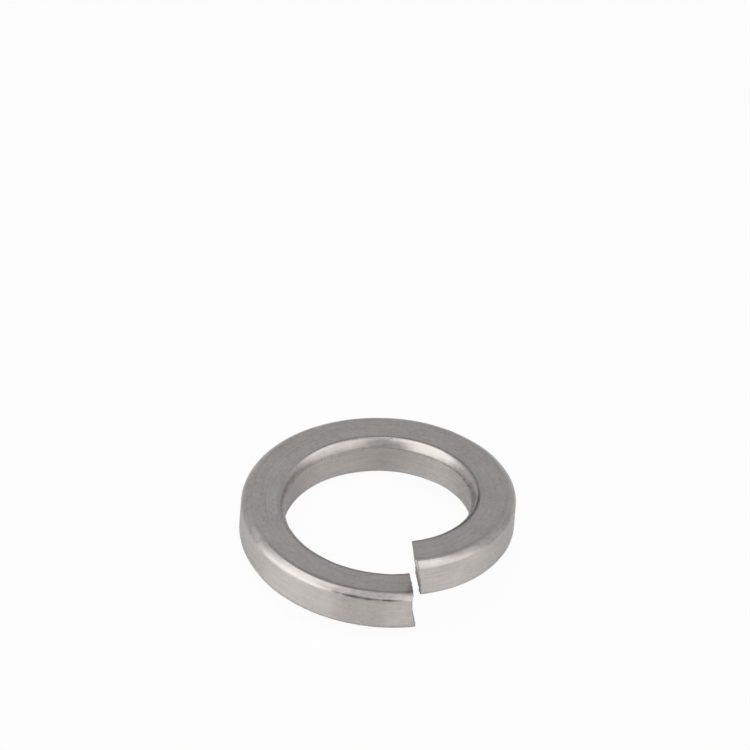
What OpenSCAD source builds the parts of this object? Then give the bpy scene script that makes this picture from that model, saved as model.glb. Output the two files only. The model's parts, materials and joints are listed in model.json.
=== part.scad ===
// Spring lock washer: one left-handed turn of square wire with rounded edges, sheared apart at a slant.
// The axis is Z, the lowest point lies at Z 0, and the gap between the ends faces -Y.

/* [Wire] */
// Radial width of the wire
wire_w = 5.5; // [4:0.1:7]
// Height of the wire
wire_h = 5.2; // [4:0.1:7]
// Radius of the wire's four rounded edges
edge_r = 0.95; // [0.4:0.05:1.5]

/* [Coil] */
// Diameter of the bore, which clears a 22 mm bolt
bore_d = 23; // [18:0.1:30]
// Height that the wire climbs in one full turn
rise = 5; // [2:0.1:8]

/* [Ends] */
// Gap between the two cut ends at mid height, measured along the coil
gap = 0.8; // [0.4:0.1:3]
// Angle between the cut and a radius, seen from above
cut_skew = 12.5; // [0:0.5:20]
// Lean that the cut reaches at the washer's top and bottom; it stands upright at mid height
cut_lean = 17; // [0:0.5:25]

/* [Hidden] */

bore_r = bore_d / 2;
outside_r = bore_r + wire_w;
middle_r = bore_r + wire_w / 2;

// Rings along the coil, tangents to each rounded edge of the wire, and strips in each of its upright sides
rings = 96;
edge_steps = 5;
side_steps = 4;
edge_turn = 90 / edge_steps;

// The swept wire stands this far past both round walls, which cylinders then cut true
spare = 0.15;

// Corner of the wire's rounded edge, from the centre of its arc: where tangents number step and step + 1 meet.
// The tangent that would lie in the round wall gives way to a point past that wall, on the next tangent.
function edge_corner(step) =
    step == 0
        ? [edge_r + spare, (edge_r - (edge_r + spare) * cos(edge_turn)) / sin(edge_turn)]
        : edge_r / cos(edge_turn / 2) * [cos((step + 0.5) * edge_turn), sin((step + 0.5) * edge_turn)];

// The wire's outline round its own centre, as [outwards, upwards]: one edge mirrored into four, and two sides
function edge_at(out, up, order) =
    [for (step = order) let (c = edge_corner(step))
        [out * (wire_w / 2 - edge_r + c.x), up * (wire_h / 2 - edge_r + c.y)]];
function side_at(out, up) =
    let (side_top = wire_h / 2 - edge_r + edge_corner(0).y)
    [for (step = [1 : side_steps - 1])
        [out * (wire_w / 2 + spare), up * side_top * (1 - 2 * step / side_steps)]];
to_flat = [0 : edge_steps - 1];
to_side = [edge_steps - 1 : -1 : 0];
outline = concat(
    edge_at(1, 1, to_flat), edge_at(-1, 1, to_side), side_at(-1, 1),
    edge_at(-1, -1, to_flat), edge_at(1, -1, to_side), side_at(1, -1));
corners = len(outline);

// The outline's points in pairs of one height, an outer and an inner one, from the top down
levels = [for (k = [0 : corners / 2 - 1]) [(edge_steps - 1 - k + corners) % corners, edge_steps + k]];

// Angle of a cut from the middle of the gap, clockwise from above, for a point of the outline.
// The end is 1 for the lower end and -1 for the upper one. Both follow one S, with the gap between them:
// its lean grows evenly from none at mid height to cut_lean at the top and bottom.
function cut_angle(p, end) =
    let (z = p.y - end * rise / 2, half_height = (wire_h + rise) / 2)
    (end * gap / 2 + tan(cut_skew) * p.x + tan(cut_lean) * z * abs(z) / (2 * half_height))
    / (middle_r + p.x) * 180 / PI;

// Angle of a point of the outline at a share of the way from the lower cut to the upper one
function coil_angle(p, share) = (1 - share) * cut_angle(p, 1) + share * (360 + cut_angle(p, -1));

// The coil climbs clockwise, so its lowest point is on the lower cut
function climb(p, share) = p.y + rise * coil_angle(p, share) / 360;
lowest = min([for (p = outline) climb(p, 0)]);
highest = max([for (p = outline) climb(p, 1)]);
height = highest - lowest;

// A point of the swept wire
function coil_point(p, share) =
    let (r = middle_r + p.x, turn = -90 - coil_angle(p, share))
    [r * cos(turn), r * sin(turn), climb(p, share) - lowest];

// The wire swept round the coil, with an end face on each cut made of strips between its levels
module swept_wire() {
    points = [for (i = [0 : rings]) for (p = outline) coil_point(p, i / rings)];
    sides = [for (i = [0 : rings - 1]) for (j = [0 : corners - 1])
        let (a = i * corners + j, b = i * corners + (j + 1) % corners)
        each [[a, a + corners, b], [b, a + corners, b + corners]]];
    last = rings * corners;
    ends = [for (k = [1 : len(levels) - 1])
        let (up = levels[k - 1], low = levels[k])
        each [[low[0], up[0], up[1]], [low[0], up[1], low[1]],
              [last + up[1], last + up[0], last + low[0]], [last + low[1], last + up[1], last + low[0]]]];
    polyhedron(points, concat(sides, ends));
}

// The washer, with a true round bore and a true round outside
module lock_washer() {
    color("#a3a09d")
    difference() {
        intersection() {
            swept_wire();
            translate([0, 0, -1]) cylinder(h = height + 2, r = outside_r, $fn = 192);
        }
        translate([0, 0, -1]) cylinder(h = height + 2, r = bore_r, $fn = 192);
    }
}

lock_washer();
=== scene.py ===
# Spring lock washer in tumbled stainless steel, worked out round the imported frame
import json
import math
import bpy
import numpy as np
from mathutils import Matrix, Vector


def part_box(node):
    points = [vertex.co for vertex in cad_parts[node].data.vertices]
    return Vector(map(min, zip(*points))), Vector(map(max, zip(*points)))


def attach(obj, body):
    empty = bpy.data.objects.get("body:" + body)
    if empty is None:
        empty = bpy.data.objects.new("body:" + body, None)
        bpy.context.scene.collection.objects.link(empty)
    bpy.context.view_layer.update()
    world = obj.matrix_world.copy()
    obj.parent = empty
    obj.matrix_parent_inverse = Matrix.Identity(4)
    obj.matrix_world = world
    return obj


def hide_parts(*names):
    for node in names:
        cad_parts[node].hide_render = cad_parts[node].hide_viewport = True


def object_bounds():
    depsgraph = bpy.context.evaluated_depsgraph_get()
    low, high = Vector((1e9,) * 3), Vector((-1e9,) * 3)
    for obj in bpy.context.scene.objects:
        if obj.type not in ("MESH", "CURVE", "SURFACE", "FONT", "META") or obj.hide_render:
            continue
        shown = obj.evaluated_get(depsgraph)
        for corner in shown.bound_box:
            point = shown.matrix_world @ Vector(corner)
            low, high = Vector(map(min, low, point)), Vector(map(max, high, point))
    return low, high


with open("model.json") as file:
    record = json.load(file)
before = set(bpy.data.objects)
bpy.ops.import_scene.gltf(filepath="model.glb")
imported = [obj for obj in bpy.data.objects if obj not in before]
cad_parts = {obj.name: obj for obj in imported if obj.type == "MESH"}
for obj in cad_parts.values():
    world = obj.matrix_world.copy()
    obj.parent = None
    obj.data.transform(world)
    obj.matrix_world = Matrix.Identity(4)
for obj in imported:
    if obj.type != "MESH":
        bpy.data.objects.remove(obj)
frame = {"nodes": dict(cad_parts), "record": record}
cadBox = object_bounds()
print("frame loaded:", sorted(frame["nodes"]))

mm = 0.001  # lengths below are in millimetres, and become metres when a mesh is made

# The washer. Angles are in degrees, and those round the coil run clockwise from the gap, seen from above.
# Pairs of a wavelength and a height describe unevenness, and end 1 is the lower end and -1 the upper one.
washer = {
    # Sizes, as in the part's source
    "boreRadius": frame["record"]["mounts"][0]["dims"]["r_mm"],
    "wireWidth": 5.5,
    "wireHeight": 5.2,
    "rise": 5.0,
    "gap": 0.8,
    "cutSkew": 12.5,
    "cutLean": 17.0,

    # Each rounded edge: its width on the flat, and how the surface turns from facing sideways (0) to facing
    # up or down (90), by share of the way along the edge. The rolls left the top edges nearly as chamfers,
    # which meet the flat at a crease.
    "edges": {
        "bottomOuter": {"width": 0.95, "steps": 12, "turn": [(0, 0), (0.5, 42), (1, 90)]},
        "topOuter": {"width": 1.08, "steps": 20,
                     "turn": [(0, 0), (0.15, 24), (0.33, 46), (0.55, 57), (0.78, 63), (0.90, 81), (1, 90)]},
        "topInner": {"width": 0.80, "steps": 20,
                     "turn": [(0, 0), (0.04, 14), (0.09, 22), (0.36, 26), (0.62, 31), (0.84, 42),
                              (0.94, 62), (1, 90)]},
        "bottomInner": {"width": 0.85, "steps": 12, "turn": [(0, 0), (0.5, 42), (1, 90)]},
    },

    # The painted shade along each top edge's crease, a dark line on the flat, strongest where a highlight
    # lies beside it: how far onto the flat it lies, and how strong it is round the coil
    "creaseShades": {
        "topOuter": {"onFlat": 0.10,
                     "strength": [(0, 0.25), (25, 0.5), (52, 0.45), (85, 0.05), (300, 0.05), (335, 0.25),
                                  (360, 0.25)]},
        "topInner": {"onFlat": 0.07,
                     "strength": [(0, 0.45), (60, 0.45), (100, 0.2), (145, 0.05), (170, 0.35), (235, 0.5),
                                  (283, 0.5), (293, 1.0), (320, 0.9), (345, 0.5), (360, 0.45)]},
    },
    "creaseShadeWidth": 0.16,

    # How far each cut strays clockwise from the source's S, by height on the wire, at the wire's inside
    # and outside. The lower end is cut back below its top, which leaves a lip there.
    "stray": {
        1: {"heights": (-2.6, 2.0, 2.4, 2.6),
            "inside": (0.19, 0.19, 0.0, 0.0),
            "outside": (0.17, 0.19, 0.0, 0.0)},
        -1: {"heights": (-2.6, -2.0, 2.6),
             "inside": (0.04, 0.0, 0.12),
             "outside": (0.0, 0.06, 0.30)},
    },
    # Tumbling rounded the sheared edges to cutEdge. The shears went into the lower end from below and into
    # the upper one from above, and rolled the outer corner there over by rollOver more.
    "cutEdge": 0.10,
    "rollOver": {1: 0.10, -1: 0.34},
    "rolledCorner": {1: -45, -1: 45},  # the way that this corner faces
    # From where they went in, the shears scored each cut face over this share of the height, and past that
    # the steel broke away in grains
    "scoredShare": 0.38,
    "scoredBlend": 0.25,
    "scoreStretch": 0.06,  # the scores' height waves are this much slower up and down than across
    "scores": (0.45, 0.010),
    "grains": (0.9, 0.022),
    "fineGrains": (0.35, 0.012),
    "reliefSeed": 5,

    # What drawing, coiling and tumbling left on the skin
    "skin": {
        "swell": (7.0, 0.012),     # slow unevenness of the wire
        "ripple": (2.4, 0.0045),   # the peened skin over it
        "dents": 300,
        "dentRadius": (0.35, 0.95),
        "dentDepth": (0.004, 0.014),
        "nicks": 46,               # smaller ones, along the top edges, from knocks in the tumbler
        "nickRadius": (0.18, 0.34),
        "nickDepth": (0.006, 0.022),
        "edgeFacing": 0.3,         # sine and cosine of the facing angle past which a surface is an edge
        "fade": 0.8,               # all of it dies away over this distance from a cut
        "seed": 22,
    },

    # The lap: a fold in the drawn wire, pressed shut, on the outer top edge near the lower end, made as a
    # shallow groove with painted shade in it. Its heights are above the wire's middle, at its angles round
    # the coil.
    "lap": {
        "angles": [6, 23, 34, 44],
        "heights": [1.97, 2.00, 2.03, 2.00],
        "widthBelow": 0.085,
        "widthAbove": 0.15,
        "depth": 0.09,
        "wander": (6.0, 0.007),    # of its height, with the wavelength in degrees
        "unevenness": (3.0, 0.12),  # of its depth, as a share about usualDepth
        "usualDepth": 0.80,
        "leastDepth": 0.45,
        "taper": (8, 3.4),         # how steeply it deepens from its two ends, per share of its length
        "nearCut": 2,              # it dies away over this many times less distance than the skin's marks
        "seeds": (31, 33),
    },

    # Painted shade on the bore wall, standing for the darker sheet that it mirrors inside the bore: a share
    # that starts where the inward facing passes the first number and is full once it passes that by the
    # second
    "boreShade": (0.92, 0.07),

    # How finely it is made: rings along the coil, points along each flat and each wall, and rows from a cut
    # face's middle to its edge and round that edge
    "ringsAlong": 700,
    "flatSteps": 20,
    "wallSteps": 14,
    "capRings": 8,
    "cutEdgeSteps": 6,
}
washer["middleRadius"] = washer["boreRadius"] + washer["wireWidth"] / 2


def edgeCurve(edge, samples=3000):
    # Points of one edge from its wall to its flat, with the angle that each faces: small steps square to the
    # facing angle add up to the curve, scaled to its width. The points are spread by both length and turn.
    share = np.linspace(0, 1, samples)
    facing = np.interp(share, *zip(*edge["turn"]))
    x = -np.cumsum(np.sin(np.radians(facing)))
    y = np.cumsum(np.cos(np.radians(facing)))
    scale = edge["width"] / -x[-1]
    spread = share + facing / 90
    pick = np.interp(np.linspace(0, 2, edge["steps"]), spread, np.arange(samples)).round().astype(int)
    return x[pick] * scale, (y[pick] - y[-1]) * scale, facing[pick]


def wireSection(w):
    # The section, anticlockwise from the bottom's middle: four edges mirrored into their corners, and
    # between them straight sides, whose points crowd a little towards their ends.
    loop = []
    corners = (("bottomOuter", 1, -1), ("topOuter", 1, 1), ("topInner", -1, 1), ("bottomInner", -1, -1))
    for name, out, up in corners:
        x, y, facing = edgeCurve(w["edges"][name])
        turned = facing if out > 0 else 180 - facing
        curve = np.stack([out * (w["wireWidth"] / 2 + x), up * (w["wireHeight"] / 2 + y), up * turned])
        loop.append(curve if out * up > 0 else curve[:, ::-1])
    loop[3][2] += 360
    loop.append(loop[0] + [[0], [0], [360]])
    parts = []
    for side in range(4):
        steps = w["wallSteps"] if side % 2 == 0 else w["flatSteps"]
        even = np.arange(1, steps) / steps
        along = (even + (1 - np.cos(np.pi * even)) / 2) / 2
        first, last = loop[side][:, -1:], loop[side + 1][:, :1]
        parts += [loop[side], first + (last - first) * along]
    section = np.concatenate(parts, axis=1)
    return np.roll(section, w["flatSteps"] // 2, axis=1)


def ripples(points, size, seed, count=24):
    # Smooth random height: a sum of plane waves in random directions, all near one wavelength, scaled so that
    # its spread is the height that goes with it
    wavelength, height = size
    draw = np.random.default_rng(seed)
    ways = draw.normal(size=(3, count))
    ways /= np.linalg.norm(ways, axis=0) * wavelength * draw.uniform(0.7, 1.4, count)
    waves = np.cos(2 * np.pi * (points @ ways + draw.random(count)))
    return waves.sum(axis=-1) * math.sqrt(2 / count) * height


def cutOffset(w, x, y, end):
    # Distance of a cut from the middle of the gap, clockwise round the coil: half the gap, plus the skew
    # times the distance outwards, plus an S that leans more with height from the washer's middle, plus its
    # stray.
    z = y - end * w["rise"] / 2
    halfHeight = (w["wireHeight"] + w["rise"]) / 2
    skew = math.tan(math.radians(w["cutSkew"])) * x
    bend = math.tan(math.radians(w["cutLean"])) * z * abs(z) / (2 * halfHeight)
    stray = w["stray"][end]
    inside, outside = (np.interp(y, stray["heights"], stray[side]) for side in ("inside", "outside"))
    return end * w["gap"] / 2 + skew + bend + inside + (outside - inside) * (x / w["wireWidth"] + 0.5)


def shearRelief(w, x, y, end):
    # Height of the cut face's own marks: scores up and down it where the shears slid, and coarse and fine
    # grains where the steel broke, blended by 1 / (1 + exp(-distance past the scores / blend)).
    past = (0.5 - w["scoredShare"]) * w["wireHeight"] + end * y
    broken = 1 / (1 + np.exp(-past / w["scoredBlend"]))
    place = np.stack([x, y, 0 * x], axis=-1)
    seed = w["reliefSeed"]
    scores = ripples(place * [1, w["scoreStretch"], 1], w["scores"], seed)
    grains = ripples(place, w["grains"], seed + 1) + ripples(place, w["fineGrains"], seed + 2)
    return scores * (1 - broken) + grains * broken


def coilPlace(w, x, y, angle):
    # Where a point of the section comes to lie: x outwards and y up from the wire's middle, turned clockwise
    # by the angle from the gap, and lifted by the rise for each full turn
    radius = w["middleRadius"] + x
    turn = np.radians(-90 - angle)
    return np.stack([radius * np.cos(turn), radius * np.sin(turn), y + w["rise"] * angle / 360], axis=-1)


def cutRows(w, section, end):
    # Rows from a cut face's middle out to its edge, then round that edge to the start of the wire's sides.
    # The section grows from its middle on the face. Round the edge it lacks r (1 - cos) and lies r (1 - sin)
    # further on, where r grows by the squared cosine between the facing angle and the rolled corner's.
    grown = np.concatenate([np.arange(1, w["capRings"]) / w["capRings"], np.ones(w["cutEdgeSteps"] + 1)])
    quarter = np.concatenate([np.full(w["capRings"] - 1, 90.0), np.linspace(90, 0, w["cutEdgeSteps"] + 1)])
    quarter = np.radians(quarter)[:, None]
    near = np.clip(np.cos(np.radians(section[2] - w["rolledCorner"][end])), 0, 1)
    radius = w["cutEdge"] + w["rollOver"][end] * near ** 2
    scale = grown[:, None] * (1 - radius * (1 - np.cos(quarter)) / (w["wireWidth"] / 2))
    x = scale * section[0]
    y = scale * section[1]
    onward = radius * (1 - np.sin(quarter))
    offset = cutOffset(w, x, y, end) + shearRelief(w, x, y, end) + end * onward
    angle = np.degrees(offset / (w["middleRadius"] + x)) + (360 if end < 0 else 0)
    return x, y, angle


def wireGrid(w, section):
    # The wire as a grid of x, y and angle: the lower cut's rows, rings at even shares of the way from it to
    # the upper cut, and the upper cut's rows from its edge in
    low = cutRows(w, section, 1)
    high = cutRows(w, section, -1)
    share = np.linspace(0, 1, w["ringsAlong"] + 2)[1:-1, None]
    same = np.ones_like(share)
    coil = (section[0] * same, section[1] * same, (1 - share) * low[2][-1] + share * high[2][-1])
    return [np.concatenate([first, between, last[::-1]]) for first, between, last in zip(low, coil, high)]


def dentHeight(points, places, radii, depths):
    # Round dents: each lowers the surface by its depth times exp(-2 (distance / radius) squared)
    height = np.zeros(points.shape[:-1])
    for place, radius, depth in zip(places, radii, depths):
        height -= depth * np.exp(-2 * ((points - place) ** 2).sum(axis=-1) / radius ** 2)
    return height


def skinHeight(s, points, onTopEdge):
    # Height of the skin over the ideal wire: slow swells, finer ripples, and dents, deeper where wider
    draw = np.random.default_rng(s["seed"])
    height = ripples(points, s["swell"], s["seed"]) + ripples(points, s["ripple"], s["seed"] + 1)
    for kind, places in (("dent", points.reshape(-1, 3)), ("nick", points[onTopEdge])):
        count = s[kind + "s"]
        size = draw.random(count)
        radii = np.interp(size, [0, 1], s[kind + "Radius"])
        depths = np.interp(size * draw.random(count), [0, 1], s[kind + "Depth"])
        height += dentHeight(points, places[draw.integers(len(places), size=count)], radii, depths)
    return height


def lapShare(l, y, angle):
    # How far a point is into the lap, from 0 to 1, which sets both the groove's depth and its painted shade:
    # exp(-(distance / width) squared) about a wandering height, wider above it than below, uneven along its
    # length and tapered at both ends
    line = np.stack([angle, 0 * angle, 0 * angle], axis=-1)
    height = np.interp(angle, l["angles"], l["heights"]) + ripples(line, l["wander"], l["seeds"][0])
    share = (angle - l["angles"][0]) / (l["angles"][-1] - l["angles"][0])
    ends = np.clip(share * l["taper"][0], 0, 1) * np.clip((1 - share) * l["taper"][1], 0, 1)
    uneven = np.clip(l["usualDepth"] + ripples(line, l["unevenness"], l["seeds"][1]), l["leastDepth"], 1)
    width = np.where(y > height, l["widthAbove"], l["widthBelow"])
    return np.exp(-((y - height) / width) ** 2) * ends * uneven


def creaseShadeShare(w, section, angle):
    # How far a point is into the painted shade along a crease, from 0 to 1: exp(-(distance from its line /
    # width) squared), times its strength at that angle
    share = np.zeros(angle.shape)
    for name, out in (("topOuter", 1), ("topInner", -1)):
        creaseShade = w["creaseShades"][name]
        line = out * (w["wireWidth"] / 2 - w["edges"][name]["width"] - creaseShade["onFlat"])
        away = np.hypot(section[0] - line, section[1] - w["wireHeight"] / 2)
        share += np.exp(-(away / w["creaseShadeWidth"]) ** 2) * np.interp(angle, *zip(*creaseShade["strength"]))
    return share


def gridFaces(rows, columns):
    # Quads between neighbouring points, closed round the section, and a fan of triangles at each end to that
    # end's middle, whose two points come after the grid's
    here = np.arange(rows * columns).reshape(rows, columns)
    beside = np.roll(here, -1, axis=1)
    quads = np.stack([here[:-1], beside[:-1], beside[1:], here[1:]], axis=-1).reshape(-1, 4)
    lowFan = np.stack([beside[0], here[0], np.full(columns, rows * columns)], axis=-1)
    highFan = np.stack([here[-1], beside[-1], np.full(columns, rows * columns + 1)], axis=-1)
    return [quads, lowFan, highFan]


def coilMap(w, section, angle):
    # The map of the same faces, in millimetres: along the coil at the wire's middle, and round the section
    steps = np.hypot(*(np.roll(section[:2], -1, axis=1) - section[:2]))
    v = np.concatenate([[0], np.cumsum(steps)])
    u = np.radians(angle) * w["middleRadius"]
    corner = np.stack(np.broadcast_arrays(np.concatenate([u, u[:, :1]], axis=1), v), axis=-1)
    quads = np.stack([corner[:-1, :-1], corner[:-1, 1:], corner[1:, 1:], corner[1:, :-1]], axis=2)
    lowFan = np.stack([corner[0, 1:], corner[0, :-1], corner[0, :-1]], axis=1)
    highFan = np.stack([corner[-1, :-1], corner[-1, 1:], corner[-1, 1:]], axis=1)
    return [part.reshape(-1, 2) for part in (quads, lowFan, highFan)]


def cadHeight(w):
    # The coil starts with the wire's middle at height 0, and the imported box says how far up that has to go
    low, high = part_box("lock_washer")
    return (low.z + high.z) / 2 / mm - w["rise"] / 2


def meshFrom(name, points, faceSets, mapSets, materialIndex):
    # A mesh from whole arrays: points, then sets of faces with one number of corners each, with their map
    mesh = bpy.data.meshes.new(name)
    corners = np.concatenate([faces.ravel() for faces in faceSets])
    sizes = np.concatenate([np.full(len(faces), faces.shape[1]) for faces in faceSets])
    mesh.vertices.add(len(points))
    mesh.vertices.foreach_set("co", points.astype(np.float32).ravel())
    mesh.loops.add(len(corners))
    mesh.loops.foreach_set("vertex_index", corners.astype(np.int32))
    mesh.polygons.add(len(sizes))
    mesh.polygons.foreach_set("loop_start", (np.cumsum(sizes) - sizes).astype(np.int32))
    mesh.polygons.foreach_set("material_index", materialIndex.astype(np.int32))
    mesh.polygons.foreach_set("use_smooth", np.ones(len(sizes), bool))
    uvLayer = mesh.uv_layers.new(name="coil")
    uvLayer.data.foreach_set("uv", np.concatenate(mapSets).astype(np.float32).ravel())
    mesh.update(calc_edges=True)
    mesh.validate()
    return mesh


def addAttribute(mesh, name, values):
    # A number at each point of the grid, which a material reads by name, and 0 at the two end middles
    layer = mesh.attributes.new(name, "FLOAT", "POINT")
    layer.data.foreach_set("value", np.append(values.ravel(), [0, 0]).astype(np.float32))


def makeWasher(w):
    # The grid laid round the coil, with each point moved the way it faces by the height of the skin less the
    # depth of the lap. Both fade out by distance from the nearer cut.
    skin, lap = w["skin"], w["lap"]
    section = wireSection(w)
    x, y, angle = wireGrid(w, section)
    points = coilPlace(w, x, y, angle)
    rowsAtCut = w["capRings"] + w["cutEdgeSteps"]
    fromLow = np.radians(angle - angle[rowsAtCut - 1]) * w["middleRadius"]
    fromHigh = np.radians(angle[-rowsAtCut] - angle) * w["middleRadius"]
    fade = np.clip(np.minimum(fromLow, fromHigh) / skin["fade"], 0, 1)
    inLap = lapShare(lap, y, angle) * (x > 0) * np.clip(fade * lap["nearCut"], 0, 1)
    facing = np.radians(section[2])
    isTopEdge = (np.sin(facing) > skin["edgeFacing"]) & (np.abs(np.cos(facing)) > skin["edgeFacing"])
    onTopEdge = np.broadcast_to(isTopEdge, angle.shape)
    height = skinHeight(skin, points, onTopEdge) * fade - lap["depth"] * inLap
    turn = np.radians(-90 - angle)
    outward = np.cos(facing) * height
    points += np.stack([outward * np.cos(turn), outward * np.sin(turn), np.sin(facing) * height], axis=-1)

    # The middle of each cut face, as the last two points
    middles = []
    for end, turned in ((1, 0), (-1, 360)):
        cutAngle = turned + np.degrees(cutOffset(w, 0.0, 0.0, end) / w["middleRadius"])
        middles.append(coilPlace(w, 0.0, 0.0, cutAngle))
    points = np.concatenate([points.reshape(-1, 3), middles])
    points[:, 2] += cadHeight(w)

    # The cut faces take the second material, up to the last step round their edges
    rows, columns = angle.shape
    isCut = np.zeros((rows - 1, columns), int)
    isCut[:rowsAtCut - 2] = 1
    isCut[2 - rowsAtCut:] = 1
    materialIndex = np.concatenate([isCut.ravel(), np.ones(2 * columns, int)])
    faceSets = gridFaces(rows, columns)
    mesh = meshFrom("lockWasher", points * mm, faceSets, coilMap(w, section, angle), materialIndex)

    # Painted shade on the bore wall, as a share that the material reads
    start, over = w["boreShade"]
    boreShade = np.broadcast_to(np.clip((-np.cos(facing) - start) / over, 0, 1), angle.shape)
    addAttribute(mesh, "boreShade", boreShade)
    # The lap's share also paints shade into its fold
    addAttribute(mesh, "lap", inLap)
    # Painted shade: a dark line along the creases beside the top edges
    addAttribute(mesh, "creaseShade", creaseShadeShare(w, section, angle))
    return mesh


def linearColour(hexText):
    # sRGB hex to linear: values up to 0.04045 divide by 12.92, the rest follow the 2.4 power curve
    values = [int(hexText[i : i + 2], 16) / 255 for i in (1, 3, 5)]
    return [v / 12.92 if v <= 0.04045 else ((v + 0.055) / 1.055) ** 2.4 for v in values] + [1.0]


def addNode(tree, kind, settings=None, inputs=None, links=None):
    # One node with its settings, its inputs' values, and links from (node, output) to its inputs
    node = tree.nodes.new(kind)
    for key, value in (settings or {}).items():
        setattr(node, key, value)
    for key, value in (inputs or {}).items():
        node.inputs[key].default_value = value
    for key, (source, output) in (links or {}).items():
        tree.links.new(source.outputs[output], node.inputs[key])
    return node


def newMaterial(name):
    # An empty node material and its tree
    material = bpy.data.materials.new(name)
    material.use_nodes = True
    material.node_tree.nodes.clear()
    return material, material.node_tree


# Stainless steel wire, cold drawn, coiled and tumbled: a grey, slightly warm metal with a soft satin sheen,
# cloudy where the tumbling has peened it, with faint streaks along the wire and a scatter of tiny pits
tumbled = {
    "pale": "#ebe5e1",
    "dull": "#95908d",
    # Painted shade inside the lap's fold
    "lapColour": "#544e4a",
    # Painted shade along the creases beside the top edges
    "creaseShadeColour": "#5e5956",
    "roughness": (0.27, 0.38),
    "cloudSize": 3.0,      # sizes, spacings and heights in mm
    "mottleSize": 0.55,
    "grainSize": 0.20,     # drawn about twice as coarse as it is, to show in the render
    "streakSpacing": 0.25,
    "streakLength": 6.0,
    "pitSpacing": 1.5,
    "pitEdge": (0.03, 0.10),      # a pit's floor and its rim, as shares of that spacing
    "mottleHeight": 0.0026,
    "streakHeight": 0.0024,
    "grainHeight": 0.0007,
    "pitDepth": 0.0015,
    # Each noise: its detail, its own roughness, and its share of the tone
    "noises": {
        "cloud": (3.0, 0.6, 0.28),
        "mottle": (3.0, 0.6, 0.24),
        "grain": (2.0, 0.6, 0.10),
        "streak": (3.0, 0.65, 0.52),
    },
    "mottleRange": (0.35, 0.65),  # of the mottle's noise, over which the roughness runs
    "toneShift": -0.07,           # the whole skin's tone, towards the dull side
    "boreShadeAmount": 0.13,         # and the bore wall's painted shade further towards it
}


def tumbledStainless(t):
    # The tone is a sum of four noises, each times its share, from dull to pale, and the bore wall's painted
    # shade moves it further towards dull; painted shade along the creases and in the lap's fold mixes in
    # their own dark colours. The mottle also sets the roughness, and the bump adds up all heights and the
    # pits.
    material, tree = newMaterial("tumbledStainlessWire")
    place = addNode(tree, "ShaderNodeTexCoord")
    coil = addNode(tree, "ShaderNodeUVMap", {"uv_map": "coil"})
    stretched = addNode(tree, "ShaderNodeMapping", None,
                        {"Scale": (1 / t["streakLength"], 1 / t["streakSpacing"], 1.0)},
                        {"Vector": (coil, "UV")})
    patterns = {}
    total = None
    for name, (detail, rough, weight) in t["noises"].items():
        scale = 1.0 if name == "streak" else 1 / (t[name + "Size"] * mm)
        vector = (stretched, "Vector") if name == "streak" else (place, "Object")
        patterns[name] = addNode(tree, "ShaderNodeTexNoise", None,
                                 {"Scale": scale, "Detail": detail, "Roughness": rough},
                                 {"Vector": vector})
        inputs = {1: weight}
        links = {0: (patterns[name], "Fac")}
        if total is None:
            inputs[2] = t["toneShift"]
        else:
            links[2] = (total, "Value")
        total = addNode(tree, "ShaderNodeMath", {"operation": "MULTIPLY_ADD"}, inputs, links)
    # Painted shade: the bore wall's tone is pushed towards dull
    boreShade = addNode(tree, "ShaderNodeAttribute", {"attribute_name": "boreShade"})
    tone = addNode(tree, "ShaderNodeMath", {"operation": "MULTIPLY_ADD"}, {1: -t["boreShadeAmount"]},
                   {0: (boreShade, "Fac"), 2: (total, "Value")})
    colour = addNode(tree, "ShaderNodeMix", {"data_type": "RGBA"},
                     {6: linearColour(t["dull"]), 7: linearColour(t["pale"])}, {0: (tone, "Value")})
    # Painted shade: the creases' and the lap's dark colours mixed over the tone
    for name in ("creaseShade", "lap"):
        share = addNode(tree, "ShaderNodeAttribute", {"attribute_name": name})
        colour = addNode(tree, "ShaderNodeMix", {"data_type": "RGBA"},
                         {7: linearColour(t[name + "Colour"])}, {0: (share, "Fac"), 6: (colour, 2)})

    ranges = dict(zip(("From Min", "From Max", "To Min", "To Max"), t["mottleRange"] + t["roughness"]))
    roughness = addNode(tree, "ShaderNodeMapRange", None, ranges, {"Value": (patterns["mottle"], "Fac")})
    normal = None
    for name in ("mottle", "streak", "grain"):
        links = {"Height": (patterns[name], "Fac")}
        if normal is not None:
            links["Normal"] = (normal, "Normal")
        normal = addNode(tree, "ShaderNodeBump", None,
                         {"Strength": 1.0, "Distance": t[name + "Height"] * mm}, links)
    pits = addNode(tree, "ShaderNodeTexVoronoi", None, {"Scale": 1 / (t["pitSpacing"] * mm)},
                   {"Vector": (place, "Object")})
    ranges = dict(zip(("From Min", "From Max", "To Min", "To Max"), t["pitEdge"] + (0.0, 1.0)))
    pit = addNode(tree, "ShaderNodeMapRange", None, ranges, {"Value": (pits, "Distance")})
    normal = addNode(tree, "ShaderNodeBump", None, {"Strength": 1.0, "Distance": t["pitDepth"] * mm},
                     {"Height": (pit, "Result"), "Normal": (normal, "Normal")})
    shader = addNode(tree, "ShaderNodeBsdfPrincipled", None, {"Metallic": 1.0},
                     {"Base Color": (colour, 2), "Roughness": (roughness, "Result"),
                      "Normal": (normal, "Normal")})
    addNode(tree, "ShaderNodeOutputMaterial", None, None, {"Surface": (shader, "BSDF")})
    return material


# The same steel where the shears parted it: a little darker, rougher and grainy
sheared = {
    "pale": "#bdb8b4",
    "dull": "#a39e9a",
    "roughness": 0.46,
    "grainSize": 0.2,      # mm
    "grainHeight": 0.006,
    "detail": 4.0,
    "noiseRoughness": 0.65,
}


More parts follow.
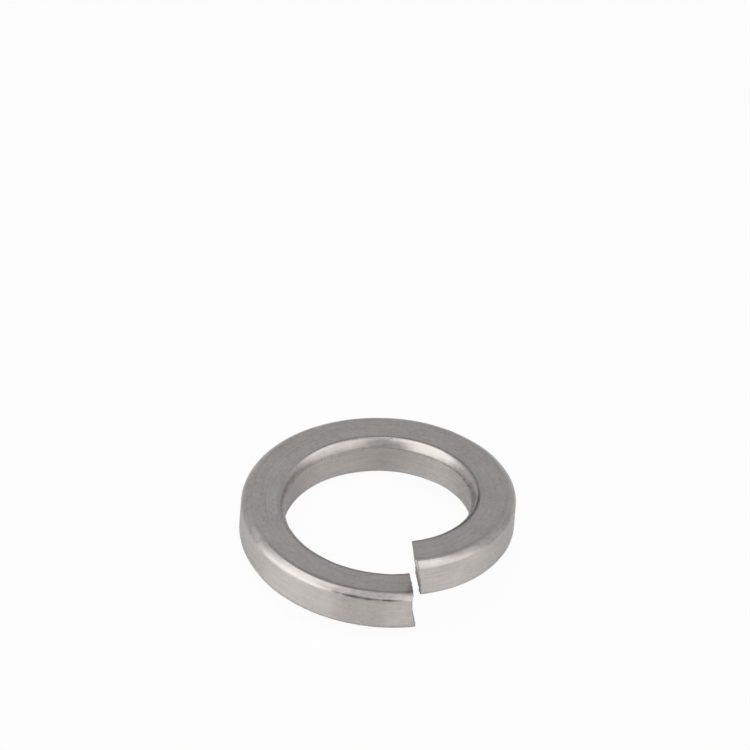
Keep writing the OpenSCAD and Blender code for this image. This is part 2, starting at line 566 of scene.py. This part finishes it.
def shearedStainless(t):
    # One noise, which runs the tone from dull to pale and is the height of the bump
    material, tree = newMaterial("shearedStainlessWire")
    place = addNode(tree, "ShaderNodeTexCoord")
    scale = 1 / (t["grainSize"] * mm)
    grain = addNode(tree, "ShaderNodeTexNoise", None,
                    {"Scale": scale, "Detail": t["detail"], "Roughness": t["noiseRoughness"]},
                    {"Vector": (place, "Object")})
    colour = addNode(tree, "ShaderNodeMix", {"data_type": "RGBA"},
                     {6: linearColour(t["dull"]), 7: linearColour(t["pale"])}, {0: (grain, "Fac")})
    bump = addNode(tree, "ShaderNodeBump", None, {"Strength": 1.0, "Distance": t["grainHeight"] * mm},
                   {"Height": (grain, "Fac")})
    shader = addNode(tree, "ShaderNodeBsdfPrincipled", None, {"Metallic": 1.0, "Roughness": t["roughness"]},
                     {"Base Color": (colour, 2), "Normal": (bump, "Normal")})
    addNode(tree, "ShaderNodeOutputMaterial", None, None, {"Surface": (shader, "BSDF")})
    return material


def addObject(name, mesh, *materials):
    # The mesh as an object of the scene, with its materials in the order of their numbers
    thing = bpy.data.objects.new(name, mesh)
    bpy.context.scene.collection.objects.link(thing)
    for material in materials:
        mesh.materials.append(material)
    return thing


lockWasher = addObject("lockWasher", makeWasher(washer),
                       tumbledStainless(tumbled), shearedStainless(sheared))
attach(lockWasher, "root")
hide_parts("lock_washer")
print("washer made:", len(lockWasher.data.polygons), "faces")

# A sheet of satin white acrylic: even white with a soft reflection. It is tilted to the plane on which the
# washer comes to rest, as the washer's axis stays upright here.
table = {
    "size": 1.6,           # metres
    "tilt": 5.7,
    "tiltTowards": 62.7,
    "colour": "#e9e9e8",
    "sheen": 0.35,         # share of the light that the sheet mirrors
    "sheenRoughness": 0.3,
    "glow": 0.95,          # how far the picture's background is lifted to white, short of hiding the shadow
    "glowInMetal": 0.08,   # and how much of that white the metal mirrors
}


def satinAcrylic(t):
    # Diffuse and gloss mixed by the sheen, and over both a white glow: its share is glow where the camera
    # sees the sheet, and glowInMetal where a glossy or transmitted ray does
    material, tree = newMaterial("satinWhiteAcrylic")
    colour = linearColour(t["colour"])
    diffuse = addNode(tree, "ShaderNodeBsdfDiffuse", None, {"Color": colour})
    gloss = addNode(tree, "ShaderNodeBsdfGlossy", None, {"Color": colour, "Roughness": t["sheenRoughness"]})
    sheet = addNode(tree, "ShaderNodeMixShader", None, {0: t["sheen"]},
                    {1: (diffuse, "BSDF"), 2: (gloss, "BSDF")})
    seen = addNode(tree, "ShaderNodeLightPath")
    mirrored = addNode(tree, "ShaderNodeMath", {"operation": "MAXIMUM"}, None,
                       {0: (seen, "Is Glossy Ray"), 1: (seen, "Is Transmission Ray")})
    inMetal = addNode(tree, "ShaderNodeMath", {"operation": "MULTIPLY"}, {1: t["glowInMetal"]},
                      {0: (mirrored, "Value")})
    inPicture = addNode(tree, "ShaderNodeMath", {"operation": "MULTIPLY_ADD"}, {1: t["glow"]},
                        {0: (seen, "Is Camera Ray"), 2: (inMetal, "Value")})
    glow = addNode(tree, "ShaderNodeEmission", None, {"Color": (1, 1, 1, 1), "Strength": 1.0})
    mix = addNode(tree, "ShaderNodeMixShader", None, None,
                  {0: (inPicture, "Value"), 1: (sheet, "Shader"), 2: (glow, "Emission")})
    addNode(tree, "ShaderNodeOutputMaterial", None, None, {"Surface": (mix, "Shader")})
    return material


def makeTable(t, standing):
    # A square whose height rises with the tilt's slope, level with the lowest point that stands on it
    slope = math.tan(math.radians(t["tilt"]))
    towards = math.radians(t["tiltTowards"])
    way = np.array([math.cos(towards), math.sin(towards)]) * slope
    flat = np.empty(len(standing.data.vertices) * 3, np.float32)
    standing.data.vertices.foreach_get("co", flat)
    points = flat.reshape(-1, 3)
    level = (points[:, 2] - points[:, :2] @ way).min()
    half = t["size"] / 2
    corners = np.array([[-half, -half], [half, -half], [half, half], [-half, half]])
    mesh = bpy.data.meshes.new("table")
    mesh.from_pydata(np.column_stack([corners, corners @ way + level]).tolist(), [], [(0, 1, 2, 3)])
    return addObject("table", mesh, satinAcrylic(t))


makeTable(table, lockWasher)
print("table laid")

# A soft studio: an even grey room, with a large softbox and a small high one on each side of the camera.
# Each lamp has an azimuth and elevation as seen from the washer, a distance and size in metres, and its
# radiance.
studio = {
    "room": 0.46,
    "lamps": {
        "leftSoftbox": {"azimuth": -84, "elevation": 30, "distance": 0.7, "width": 0.86, "height": 0.84,
                        "radiance": 1.22},
        "rightSoftbox": {"azimuth": 33, "elevation": 30, "distance": 0.7, "width": 1.0, "height": 0.84,
                         "radiance": 0.78},
        "leftTopSoftbox": {"azimuth": -132, "elevation": 73, "distance": 0.7, "width": 0.50, "height": 0.30,
                           "radiance": 1.2},
        "rightTopSoftbox": {"azimuth": 64, "elevation": 65, "distance": 0.7, "width": 0.32, "height": 0.30,
                            "radiance": 1.0},
    },
}


def lookDirection(azimuth, elevation):
    # Unit vector from the washer: azimuth 0 is the -Y side and 90 the +X side
    a, e = math.radians(azimuth), math.radians(elevation)
    return Vector((math.sin(a) * math.cos(e), -math.cos(a) * math.cos(e), math.sin(e)))


def makeStudio(s):
    # The room is an even background. Each lamp faces the washer, and its power is its radiance times pi
    # times its area.
    world = bpy.data.worlds.new("studio")
    bpy.context.scene.world = world
    world.use_nodes = True
    tree = world.node_tree
    tree.nodes.clear()
    back = addNode(tree, "ShaderNodeBackground", None, {"Color": (1, 1, 1, 1), "Strength": s["room"]})
    addNode(tree, "ShaderNodeOutputWorld", None, None, {"Surface": (back, "Background")})
    middle = (cadBox[0] + cadBox[1]) / 2
    for name, lamp in s["lamps"].items():
        data = bpy.data.lights.new(name, "AREA")
        data.shape = "RECTANGLE"
        data.size = lamp["width"]
        data.size_y = lamp["height"]
        data.energy = lamp["radiance"] * math.pi * lamp["width"] * lamp["height"]
        away = lookDirection(lamp["azimuth"], lamp["elevation"])
        holder = bpy.data.objects.new(name, data)
        holder.location = middle + away * lamp["distance"]
        holder.rotation_euler = away.to_track_quat("Z", "Y").to_euler()
        bpy.context.scene.collection.objects.link(holder)


makeStudio(studio)
print("studio made")

# The photograph's view: the washer's axis stands at centrePixel, and a long lens leaves little perspective
viewpoint = {
    "azimuth": -21.5,
    "elevation": 36.87,
    "roll": 4.26,             # the picture leans this far clockwise
    "distance": 1.766,        # metres
    "pixelsPerMm": 8.07,
    "centrePixel": (377.3, 515.07),
    "imagePixels": 750,
    "clip": (0.1, 20),        # metres
}


def makeCamera(v):
    # The picture's right and up come from the azimuth and elevation, turned by the roll. The lens makes
    # pixelsPerMm at the distance, and the camera moves sideways until the axis lies at centrePixel.
    a, e, r = (math.radians(v[key]) for key in ("azimuth", "elevation", "roll"))
    across = Vector((math.cos(a), math.sin(a), 0))
    ahead = Vector((-math.sin(a), math.cos(a), 0))
    above = Vector((0, 0, 1))
    lift = math.sin(e) * ahead + math.cos(e) * above
    right = math.cos(r) * across + math.sin(r) * lift
    up = math.cos(r) * lift - math.sin(r) * across
    back = right.cross(up)
    offCentre = [(v["imagePixels"] / 2 - pixel) / v["pixelsPerMm"] * mm for pixel in v["centrePixel"]]
    middle = (cadBox[0] + cadBox[1]) / 2
    data = bpy.data.cameras.new("camera")
    data.lens = v["pixelsPerMm"] * v["distance"] / mm / v["imagePixels"] * data.sensor_width
    data.clip_start, data.clip_end = v["clip"]
    camera = bpy.data.objects.new("camera", data)
    place = middle + back * v["distance"] + right * offCentre[0] - up * offCentre[1]
    camera.matrix_world = Matrix.Translation(place) @ Matrix((right, up, back)).transposed().to_4x4()
    bpy.context.scene.collection.objects.link(camera)
    bpy.context.scene.camera = camera


makeCamera(viewpoint)
bpy.context.scene.view_settings.view_transform = "Standard"
print("camera placed")
